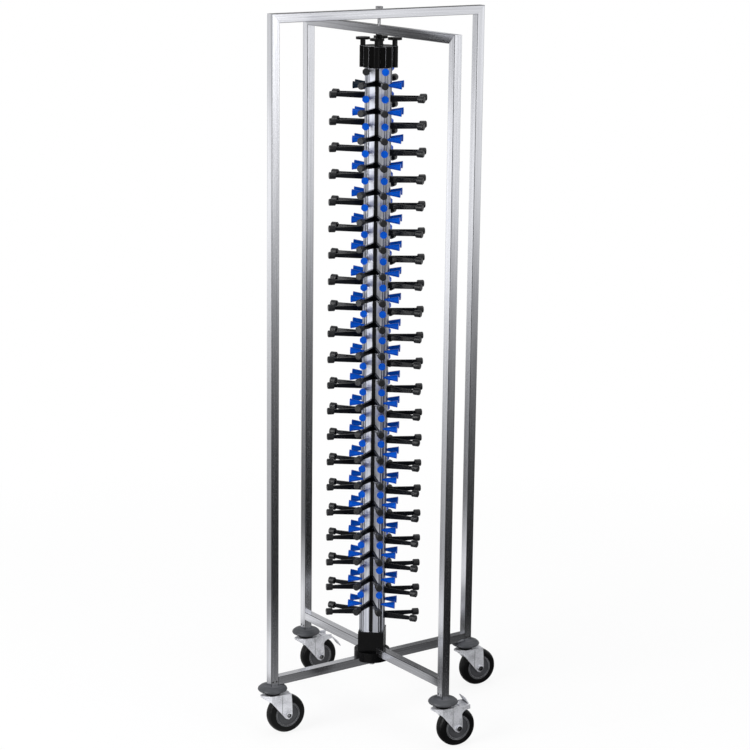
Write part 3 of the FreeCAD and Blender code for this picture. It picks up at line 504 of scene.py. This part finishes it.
# Rubber: dark grey with little shine on the pads, blacker on the tyres.
PAD_GREY = Moulded("grey_rubber_pad", "#191a1c", "#121315", 0.34, 0.7, 0.05, 1.52, 0.2)
TYRE_BLACK = Moulded("black_rubber_tyre", "#0b0b0c", "#070708", 0.36, 0.8, 0.04, 1.52, 0.1)
# Soft elastomer on the bumpers: an even mid grey, quite matt.
BUMPER_GREY = Moulded("grey_elastomer_bumper", "#494a4e", "#3c3e41", 0.5, 0.8, 0.04, 1.5, 0.25)
# Polypropylene in the wheels: grey with a slight gloss. Pale rings on the rim's edges are painted
# highlights.
WHEEL_GREY = Moulded("grey_polypropylene_wheel", "#444548", "#39393c", 0.36, 0.9, 0.03, 1.49, 0.3)
RIM_HIGHLIGHT = Moulded("painted_rim_highlight", "#9a9b9e", "#7f8083", 0.3, 0.9, 0.02, 1.49, 0.4)
# Polypropylene in a strong blue, smooth and slightly glossy. Above a height the colour turns
# nearly black, on the two uppermost stops of the left side.
STOP_BLUE = Moulded("blue_polypropylene", "#0054c8", "#0046ad", 0.3, 1.0, 0.02, 1.49, 0.08)
LEFT_STOP_BLUE = replace(STOP_BLUE, name="blue_polypropylene_dark_above", upper="#0d1a26",
                         upper_from_mm=1600.0)


class FinishShelf:
    """Makes each finish once and hands out its material."""

    def __init__(self) -> None:
        """Start with no materials made."""
        self._made: dict[str, bpy.types.Material] = {}

    def of(self, finish: Finish) -> bpy.types.Material:
        """Material of a finish.

        Args:
            finish: The finish that is wanted.

        Returns:
            Its material, made on first use.
        """
        if finish.name not in self._made:
            self._made[finish.name] = finish.material()
        return self._made[finish.name]


def dress(nodes: Nodes, names: Iterable[str], material: bpy.types.Material) -> None:
    """Give solids their material.

    Args:
        nodes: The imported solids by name.
        names: Names of the solids to dress.
        material: Material that they get.
    """
    for name in names:
        mesh = nodes[name].data
        mesh.materials.clear()
        mesh.materials.append(material)
        LOG.info("dressed %s in %s", name, material.name)


@dataclass(frozen=True)
class Spot:
    """Place of one repeated shape, the direction it looks in and its scale."""

    place: Vector
    out: Vector
    scale: float = 1.0


def scatter(name: str, spots: Sequence[Spot], sizes: Mapping[str, float],
            shape: Callable[[bpy.types.NodeTree, bpy.types.Node], bpy.types.NodeSocket],
            material: bpy.types.Material) -> bpy.types.Object:
    """Put one shape on every spot with geometry nodes and keep the result as a plain mesh.

    Args:
        name: Name of the object.
        spots: Where the shape stands.
        sizes: Input name of the tree to its value in metres.
        shape: Adds the nodes of the shape and gives their mesh output.
        material: Material of the shapes.

    Returns:
        The object with all the shapes in its mesh.
    """
    mesh = bpy.data.meshes.new(f"{name}_points")
    mesh.from_pydata([spot.place for spot in spots], [], [])
    facing = mesh.attributes.new("facing", "FLOAT_VECTOR", "POINT")
    facing.data.foreach_set("vector", [value for spot in spots for value in spot.out])
    share = mesh.attributes.new("share", "FLOAT", "POINT")
    share.data.foreach_set("value", [spot.scale for spot in spots])
    holder = bpy.data.objects.new(name, mesh)
    bpy.context.scene.collection.objects.link(holder)
    tree = bpy.data.node_groups.new(f"{name}_tree", "GeometryNodeTree")
    tree.interface.new_socket("Geometry", in_out="INPUT", socket_type="NodeSocketGeometry")
    sockets = {label: tree.interface.new_socket(label, in_out="INPUT",
                                                socket_type="NodeSocketFloat")
               for label in sizes}
    tree.interface.new_socket("Geometry", in_out="OUTPUT", socket_type="NodeSocketGeometry")
    given = add_node(tree, "NodeGroupInput")
    outward = add_node(tree, "GeometryNodeInputNamedAttribute", {"data_type": "FLOAT_VECTOR"},
                       {"Name": "facing"})
    scale = add_node(tree, "GeometryNodeInputNamedAttribute", {"data_type": "FLOAT"},
                     {"Name": "share"})
    turn = add_node(tree, "FunctionNodeAlignRotationToVector", {"axis": "Z"},
                    links={"Vector": outward.outputs["Attribute"]})
    copies = add_node(tree, "GeometryNodeInstanceOnPoints", links={
        "Points": given.outputs["Geometry"], "Instance": shape(tree, given),
        "Rotation": turn.outputs["Rotation"], "Scale": scale.outputs["Attribute"]})
    solid = add_node(tree, "GeometryNodeRealizeInstances",
                     links={"Geometry": copies.outputs["Instances"]})
    clad = add_node(tree, "GeometryNodeSetMaterial", values={"Material": material},
                    links={"Geometry": solid.outputs["Geometry"]})
    add_node(tree, "NodeGroupOutput", links={"Geometry": clad.outputs["Geometry"]})
    modifier = holder.modifiers.new("scatter", "NODES")
    modifier.node_group = tree
    for label, value in sizes.items():
        modifier[sockets[label].identifier] = value
    result = holder.evaluated_get(bpy.context.evaluated_depsgraph_get())
    plain = bpy.data.meshes.new_from_object(result)
    holder.modifiers.clear()
    holder.data = plain
    LOG.info("built %s: %d copies", name, len(spots))
    return holder


def screw_head(tree: bpy.types.NodeTree, given: bpy.types.Node) -> bpy.types.NodeSocket:
    """Make the low head of a screw, narrower at its top.

    Args:
        tree: Geometry tree that gets the head.
        given: Input node with the head's sizes.

    Returns:
        Mesh of the head.
    """
    head = add_node(tree, "GeometryNodeMeshCone", values={"Vertices": HEAD_SIDES}, links={
        "Radius Top": given.outputs["Top Radius"], "Radius Bottom": given.outputs["Head Radius"],
        "Depth": given.outputs["Head Height"]})
    return head.outputs["Mesh"]


def thin_ring(tree: bpy.types.NodeTree, given: bpy.types.Node) -> bpy.types.NodeSocket:
    """Make a fine round bead that runs in a circle.

    Args:
        tree: Geometry tree that gets the ring.
        given: Input node with the ring's sizes.

    Returns:
        Mesh of the ring.
    """
    run = add_node(tree, "GeometryNodeCurvePrimitiveCircle", values={"Resolution": RING_STEPS},
                   links={"Radius": given.outputs["Ring Radius"]})
    bead = add_node(tree, "GeometryNodeCurvePrimitiveCircle", values={"Resolution": BEAD_SIDES},
                    links={"Radius": given.outputs["Bead Radius"]})
    ring = add_node(tree, "GeometryNodeCurveToMesh", links={
        "Curve": run.outputs["Curve"], "Profile Curve": bead.outputs["Curve"]})
    return ring.outputs["Mesh"]


@dataclass
class Hoops:
    """Tall and low hoop of square tube, with the bumpers and caster stems under their posts.

    The sizes place the screws that hold the caster stems in the posts.
    """

    tube_mm: float = 22.0
    screw_height_mm: float = 141.0
    screw_offset_mm: float = 5.5
    head_radius_mm: float = 2.5
    head_top_share: float = 0.6
    head_height_mm: float = 0.7

    def screw_spots(self, turn_deg: float, reach_mm: float) -> list[Spot]:
        """Spots of the screws on both faces of a hoop's two posts.

        Args:
            turn_deg: Turn of the hoop about the upright axis.
            reach_mm: Distance of the posts from that axis.

        Returns:
            Spot of every screw, in metres.
        """
        turn = math.radians(turn_deg)
        across = Vector((math.cos(turn), math.sin(turn), 0.0))
        out = Vector((math.sin(turn), -math.cos(turn), 0.0))
        raised = Vector((0.0, 0.0, self.screw_height_mm))
        spots = []
        for post in (-1, 1):
            for face in (-1, 1):
                for step in (-1, 1):
                    along = post * reach_mm + step * self.screw_offset_mm
                    place = across * along + out * (face * self.tube_mm / 2)
                    spots.append(Spot((place + raised) * MM, out * face))
        return spots

    def build(self, shelf: FinishShelf) -> None:
        """Drive the screws of the caster stems into both hoops.

        Args:
            shelf: Finishes of the rack.
        """
        sizes = {"Head Radius": self.head_radius_mm * MM,
                 "Top Radius": self.head_radius_mm * self.head_top_share * MM,
                 "Head Height": self.head_height_mm * MM}
        for hoop, turn, reach in (("tall_hoop", TALL_TURN_DEG, TALL_REACH_MM),
                                  ("low_hoop", LOW_TURN_DEG, LOW_REACH_MM)):
            screws = scatter(f"{hoop}_post_screws", self.screw_spots(turn, reach), sizes,
                             screw_head, shelf.of(RACE_STEEL))
            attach(screws, hoop)

    def dress(self, nodes: Nodes, shelf: FinishShelf) -> None:
        """Brush the tubes along their length and colour the bumpers and stems.

        Args:
            nodes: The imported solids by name.
            shelf: Finishes of the rack.
        """
        for hoop, top, bottom in (("tall_hoop", STAINLESS_TALL_BEAM, STAINLESS_TALL_BEAM),
                                  ("low_hoop", STAINLESS_LOW_TOP, STAINLESS_LOW_BEAM)):
            dress(nodes, [f"{hoop}_left_post", f"{hoop}_right_post"], shelf.of(STAINLESS_POST))
            dress(nodes, [f"{hoop}_top_beam"], shelf.of(top))
            dress(nodes, [f"{hoop}_bottom_beam"], shelf.of(bottom))
            dress(nodes, [f"{hoop}_bumpers"], shelf.of(BUMPER_GREY))
            dress(nodes, [f"{hoop}_caster_stems"], shelf.of(RACE_STEEL))


@dataclass
class Hub:
    """Turning hub, column foot and the two bolts of the folding axis."""

    mouldings: Sequence[str] = ("lower_hub", "upper_hub", "column_foot")
    bolts: Sequence[str] = ("top_pivot_bolt", "bottom_pivot_bolt")

    def dress(self, nodes: Nodes, shelf: FinishShelf) -> None:
        """Colour the mouldings and the bolts."""
        dress(nodes, self.mouldings, shelf.of(HUB_BLACK))
        dress(nodes, self.bolts, shelf.of(BOLT_STEEL))


@dataclass
class Column:
    """Slotted column, cap, slides and height knobs."""

    profile: str = "column_profile"
    cap: str = "top_cap"

    def dress(self, nodes: Nodes, shelf: FinishShelf) -> None:
        """Colour the column, its cap, and the slides and knobs of its four sides.

        Args:
            nodes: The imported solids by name.
            shelf: Finishes of the rack.
        """
        dress(nodes, [self.profile], shelf.of(ALUMINIUM))
        dress(nodes, [self.cap], shelf.of(CAP_BLACK))
        dress(nodes, [f"{side.value}_slide" for side in Side], shelf.of(SLIDE_BLACK))
        dress(nodes, [f"{side.value}_height_knob" for side in Side], shelf.of(KNOB_BLACK))


@dataclass
class PlateSupports:
    """Arms, pads and stops on the four sides, with one grey stop among the blue ones."""

    grey_stop: str = "front_grey_stop"

    def dress(self, nodes: Nodes, shelf: FinishShelf) -> None:
        """Colour the arms, pads and stops.

        Args:
            nodes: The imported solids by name.
            shelf: Finishes of the rack.
        """
        for side in Side:
            blue = LEFT_STOP_BLUE if side is Side.LEFT else STOP_BLUE
            dress(nodes, [f"{side.value}_arms"], shelf.of(ARM_BLACK))
            dress(nodes, [f"{side.value}_arm_pads"], shelf.of(PAD_GREY))
            dress(nodes, [f"{side.value}_plate_stops"], shelf.of(blue))
        dress(nodes, [self.grey_stop], shelf.of(PAD_GREY))


@dataclass
class Casters:
    """Four swivel casters, two of them with a brake pedal.

    The sizes place the pale rings of painted highlight on the edges of the wheel rims.
    """

    braked: Sequence[Corner] = (Corner.BACK_LEFT, Corner.FRONT_RIGHT)
    heading_deg: float = 32.0
    trail_mm: float = 36.0
    axle_height_mm: float = 50.0
    rim_radius_mm: float = 32.0
    rim_half_mm: float = 15.0
    inner_share: float = 0.9
    bead_mm: float = 0.35

    def build(self, shelf: FinishShelf) -> None:
        """Draw pale rings of painted highlight round both sides of every wheel rim.

        Args:
            shelf: Finishes of the rack.
        """
        sizes = {"Ring Radius": self.rim_radius_mm * MM, "Bead Radius": self.bead_mm * MM}
        heading = math.radians(self.heading_deg)
        ahead = Vector((math.cos(heading), math.sin(heading), 0.0))
        axle = Vector((-math.sin(heading), math.cos(heading), 0.0))
        for corner in Corner:
            turn = math.radians(corner.turn_deg)
            post = Vector((math.cos(turn), math.sin(turn), 0.0)) * corner.reach_mm
            middle = post + ahead * self.trail_mm + Vector((0.0, 0.0, self.axle_height_mm))
            spots = [Spot((middle + axle * (side * self.rim_half_mm)) * MM, axle * side, scale)
                     for side in (-1, 1) for scale in (self.inner_share, 1.0)]
            rings = scatter(f"{corner.value}_rim_highlights", spots, sizes, thin_ring,
                            shelf.of(RIM_HIGHLIGHT))
            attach(rings, f"{corner.value}_wheel")

    def dress(self, nodes: Nodes, shelf: FinishShelf) -> None:
        """Colour the forks, axles, wheels and pedals.

        Args:
            nodes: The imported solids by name.
            shelf: Finishes of the rack.
        """
        for corner in Corner:
            dress(nodes, [f"{corner.value}_fork"], shelf.of(ZINC))
            dress(nodes, [f"{corner.value}_axle"], shelf.of(AXLE_STEEL))
            dress(nodes, [f"{corner.value}_wheel_hub"], shelf.of(WHEEL_GREY))
            dress(nodes, [f"{corner.value}_tyre"], shelf.of(TYRE_BLACK))
        dress(nodes, [f"{corner.value}_brake_pedal" for corner in self.braked], shelf.of(ZINC))


@dataclass(frozen=True)
class ReflectionCard:
    """Card of the studio that only reflections show.

    Its brightness runs from near_glow at near_x to far_glow at far_x, and bend curves that run.
    """

    name: str
    corners: tuple[Point, ...]
    near_x: float
    far_x: float
    near_glow: float
    far_glow: float
    bend: float = 1.0

    def build(self) -> None:
        """Stand the card where neither the camera nor the soft light meets it."""
        mesh = bpy.data.meshes.new(self.name)
        mesh.from_pydata(self.corners, [], [tuple(range(len(self.corners)))])
        card = bpy.data.objects.new(self.name, mesh)
        bpy.context.scene.collection.objects.link(card)
        material = bpy.data.materials.new(self.name)
        material.use_nodes = True
        tree = material.node_tree
        tree.nodes.clear()
        place = add_node(tree, "ShaderNodeTexCoord")
        parts = add_node(tree, "ShaderNodeSeparateXYZ", links={0: place.outputs["Object"]})
        share = add_node(tree, "ShaderNodeMapRange",
                         values={"From Min": self.near_x, "From Max": self.far_x},
                         links={"Value": parts.outputs["X"]})
        bent = add_node(tree, "ShaderNodeMath", {"operation": "POWER"}, {1: self.bend},
                        {0: share.outputs["Result"]})
        level = add_node(tree, "ShaderNodeMapRange",
                         values={"To Min": self.near_glow, "To Max": self.far_glow},
                         links={"Value": bent.outputs["Value"]})
        glow = add_node(tree, "ShaderNodeEmission", links={"Strength": level.outputs["Result"]})
        add_node(tree, "ShaderNodeOutputMaterial", links={"Surface": glow.outputs["Emission"]})
        mesh.materials.append(material)
        card.visible_camera = False
        card.visible_diffuse = False
        card.visible_shadow = False
        card.visible_transmission = False
        LOG.info("stood the %s", self.name)


def on_floor(outline: Sequence[Span], rise: float = FLOOR_RISE) -> tuple[Point, ...]:
    """Corners of a level card just over the floor, from its outline in metres."""
    return tuple((x, y, rise) for x, y in outline)


def floor_patch(low: Span, high: Span, rise: float = FLOOR_RISE) -> tuple[Point, ...]:
    """Corners of an oblong card just over the floor, from two of them in metres."""
    return on_floor((low, (high[0], low[1]), high, (low[0], high[1])), rise)


def wall_patch(start: Span, end: Span, low_z: float, high_z: float) -> tuple[Point, ...]:
    """Corners of an upright card, from the ends of its foot and two heights in metres."""
    return ((*start, low_z), (*end, low_z), (*end, high_z), (*start, high_z))


# The steel shows a floor that is dark on the right near the object and pale far off. On the left
# the floor is mid grey, darker towards the back and with one pale edge. Beyond it stand a bright
# card, a softer one over that, a mostly dark one at the top, and the strip that lights the forks.
# The back is light low on its left, and dark low on its right and at the top.
REFLECTION_CARDS = (
    ReflectionCard("right_floor_card", floor_patch((0.75, -5.0), (9.0, 3.0)),
                   1.2, 8.5, 0.02, 0.95, 1.8),
    ReflectionCard("right_near_card", floor_patch((0.02, -0.6), (0.75, 0.6)),
                   0.05, 0.75, 0.24, 0.03),
    ReflectionCard("left_near_card", floor_patch((-0.62, -0.2), (-0.02, 0.42)),
                   -0.6, 0.0, 0.48, 0.48),
    ReflectionCard("left_front_card",
                   on_floor(((-4.4, -2.0), (-0.95, -2.0), (-0.95, 0.24), (-4.4, 1.04))),
                   -1.6, -4.4, 0.48, 0.95, 1.3),
    ReflectionCard("left_back_card",
                   on_floor(((-6.5, 1.52), (-1.0, 0.25), (-1.0, 4.0), (-6.5, 4.0))),
                   -1.5, -6.0, 0.17, 0.66, 1.6),
    ReflectionCard("left_wall_card", wall_patch((-5.7, -0.1), (-5.0, 1.7), 1.72, 6.0),
                   -5.22, -5.03, 0.02, 0.95),
    ReflectionCard("left_upper_card", wall_patch((-5.2, -3.5), (-5.2, 1.5), 1.0, 1.7),
                   -6.0, -4.0, 0.78, 0.78),
    ReflectionCard("left_bright_card", wall_patch((-5.2, -3.5), (-5.2, 1.15), 0.01, 1.0),
                   -6.0, -4.0, 1.4, 1.4),
    ReflectionCard("back_low_card", wall_patch((-2.5, 4.0), (2.5, 4.0), 0.9, 1.98),
                   -0.3, -0.6, 0.15, 0.62),
    ReflectionCard("back_high_card", wall_patch((-2.5, 4.0), (2.5, 4.0), 1.98, 2.8),
                   -2.5, 2.5, 0.18, 0.18),
    ReflectionCard("left_edge_card", floor_patch((-1.4, -2.0), (-0.95, 4.0), EDGE_RISE),
                   -1.0, -1.4, 0.75, 0.3),
    ReflectionCard("left_strip", wall_patch((-3.0, -2.6), (-2.5, -3.1), 0.05, 0.7),
                   -4.0, 0.0, 24.0, 24.0),
)


@dataclass(frozen=True)
class Lamp:
    """Square soft lamp, with its place and width in metres."""

    name: str
    place: Point
    width: float
    watts: float

    def build(self, aim: Point) -> None:
        """Hang the lamp and turn it to what it lights.

        Args:
            aim: Point that the lamp looks at.
        """
        data = bpy.data.lights.new(self.name, "AREA")
        data.shape = "SQUARE"
        data.size = self.width
        data.energy = self.watts
        lamp = bpy.data.objects.new(self.name, data)
        lamp.location = self.place
        look = Vector(aim) - Vector(self.place)
        lamp.rotation_euler = look.to_track_quat("-Z", "Y").to_euler()
        bpy.context.scene.collection.objects.link(lamp)
        LOG.info("hung the %s", self.name)


# A key light on the left, a fill on the right and a broad light over the top.
LAMPS = (
    Lamp("key_lamp", (-3.2, -3.4, 3.0), 2.6, 205.0),
    Lamp("fill_lamp", (3.6, -2.6, 2.2), 2.4, 55.0),
    Lamp("top_lamp", (0.2, 0.4, 4.6), 3.0, 80.0),
)


@dataclass
class Studio:
    """White floor, soft lamps, pale surroundings and the camera at the photograph's place."""

    floor_half: float = 60.0
    floor_glow: Span = (0.88, 1.0)
    floor_glow_reach: Span = (0.7, 2.4)
    world_light: float = 0.36
    lamp_aim: Point = (0.0, 0.0, 0.95)
    focal_px: float = 2315.3
    frame_px: float = 750.0
    centre_px: Span = (375.07, 372.34)
    camera_place: Point = (0.6220, -5.6703, 2.2432)
    camera_turn_deg: float = 6.26
    camera_fall_deg: float = 13.21
    camera_roll_deg: float = 0.665
    sensor_mm: float = 36.0

    def build_floor(self) -> None:
        """Lay the floor, which shows white and keeps a faint shadow near the object."""
        mesh = bpy.data.meshes.new("floor")
        half = self.floor_half
        mesh.from_pydata([(-half, -half, 0.0), (half, -half, 0.0), (half, half, 0.0),
                          (-half, half, 0.0)], [], [(0, 1, 2, 3)])
        floor = bpy.data.objects.new("floor", mesh)
        bpy.context.scene.collection.objects.link(floor)
        material, tree, shader = blank_material("pale_floor")
        shader.inputs["Base Color"].default_value = hex_colour("#f4f4f4")
        shader.inputs["Roughness"].default_value = 0.9
        shader.inputs["Specular IOR Level"].default_value = 0.1
        path = add_node(tree, "ShaderNodeLightPath")
        seen = add_node(tree, "ShaderNodeMath", {"operation": "ADD", "use_clamp": True}, links={
            0: path.outputs["Is Camera Ray"], 1: path.outputs["Is Glossy Ray"]})
        place = add_node(tree, "ShaderNodeTexCoord")
        away = add_node(tree, "ShaderNodeVectorMath", {"operation": "LENGTH"},
                        links={0: place.outputs["Object"]})
        white = add_node(tree, "ShaderNodeMapRange", values={
            "From Min": self.floor_glow_reach[0], "From Max": self.floor_glow_reach[1],
            "To Min": self.floor_glow[0], "To Max": self.floor_glow[1]},
            links={"Value": away.outputs["Value"]})
        share = add_node(tree, "ShaderNodeMath", {"operation": "MULTIPLY"}, links={
            0: seen.outputs["Value"], 1: white.outputs["Result"]})
        glow = add_node(tree, "ShaderNodeEmission", values={"Strength": 1.0})
        mix = add_node(tree, "ShaderNodeMixShader", links={
            0: share.outputs["Value"], 1: shader.outputs["BSDF"], 2: glow.outputs["Emission"]})
        output = next(node for node in tree.nodes if node.type == "OUTPUT_MATERIAL")
        tree.links.new(mix.outputs["Shader"], output.inputs["Surface"])
        mesh.materials.append(material)
        LOG.info("laid the floor")

    def build_world(self) -> None:
        """Surround the object with soft light, which the camera and reflections see as white."""
        world = bpy.data.worlds.new("studio")
        bpy.context.scene.world = world
        world.use_nodes = True
        tree = world.node_tree
        tree.nodes.clear()
        path = add_node(tree, "ShaderNodeLightPath")
        seen = add_node(tree, "ShaderNodeMath", {"operation": "MAXIMUM"}, links={
            0: path.outputs["Is Camera Ray"], 1: path.outputs["Is Glossy Ray"]})
        lit = add_node(tree, "ShaderNodeBackground", values={
            "Color": hex_colour("#f2f3f6"), "Strength": self.world_light})
        white = add_node(tree, "ShaderNodeBackground", values={
            "Color": hex_colour("#ffffff"), "Strength": 1.0})
        mix = add_node(tree, "ShaderNodeMixShader", links={
            0: seen.outputs["Value"], 1: lit.outputs["Background"],
            2: white.outputs["Background"]})
        add_node(tree, "ShaderNodeOutputWorld", links={"Surface": mix.outputs["Shader"]})

    def build_camera(self) -> None:
        """Set the camera where the photograph was taken from."""
        turn, fall = math.radians(self.camera_turn_deg), math.radians(self.camera_fall_deg)
        roll = math.radians(self.camera_roll_deg)
        ahead = Vector((-math.sin(turn) * math.cos(fall), math.cos(turn) * math.cos(fall),
                        -math.sin(fall)))
        level = Vector((math.cos(turn), math.sin(turn), 0.0))
        raised = level.cross(ahead)
        right = level * math.cos(roll) + raised * math.sin(roll)
        up = raised * math.cos(roll) - level * math.sin(roll)
        data = bpy.data.cameras.new("photo_camera")
        data.sensor_width = self.sensor_mm
        data.lens = self.focal_px / self.frame_px * self.sensor_mm
        middle = self.frame_px / 2.0
        data.shift_x = (middle - self.centre_px[0]) / self.frame_px
        data.shift_y = (self.centre_px[1] - middle) / self.frame_px
        camera = bpy.data.objects.new("photo_camera", data)
        turned = Matrix((right, up, -ahead)).transposed().to_4x4()
        camera.matrix_world = Matrix.Translation(Vector(self.camera_place)) @ turned
        bpy.context.scene.collection.objects.link(camera)
        bpy.context.scene.camera = camera

    def build(self) -> None:
        """Build the whole studio."""
        self.build_floor()
        self.build_world()
        for lamp in LAMPS:
            lamp.build(self.lamp_aim)
        for card in REFLECTION_CARDS:
            card.build()
        self.build_camera()
        bpy.context.scene.view_settings.view_transform = "Standard"


def main() -> None:
    """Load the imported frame, dress every sub-assembly and set the studio."""
    logging.basicConfig(level=logging.INFO, format="%(name)s: %(message)s")
    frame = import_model()
    shelf = FinishShelf()
    hoops, casters = Hoops(), Casters()
    for assembly in (hoops, Hub(), Column(), PlateSupports(), casters):
        assembly.dress(frame["nodes"], shelf)
    for assembly in (hoops, casters):
        assembly.build(shelf)
    Studio().build()


if __name__ == "__main__":
    main()
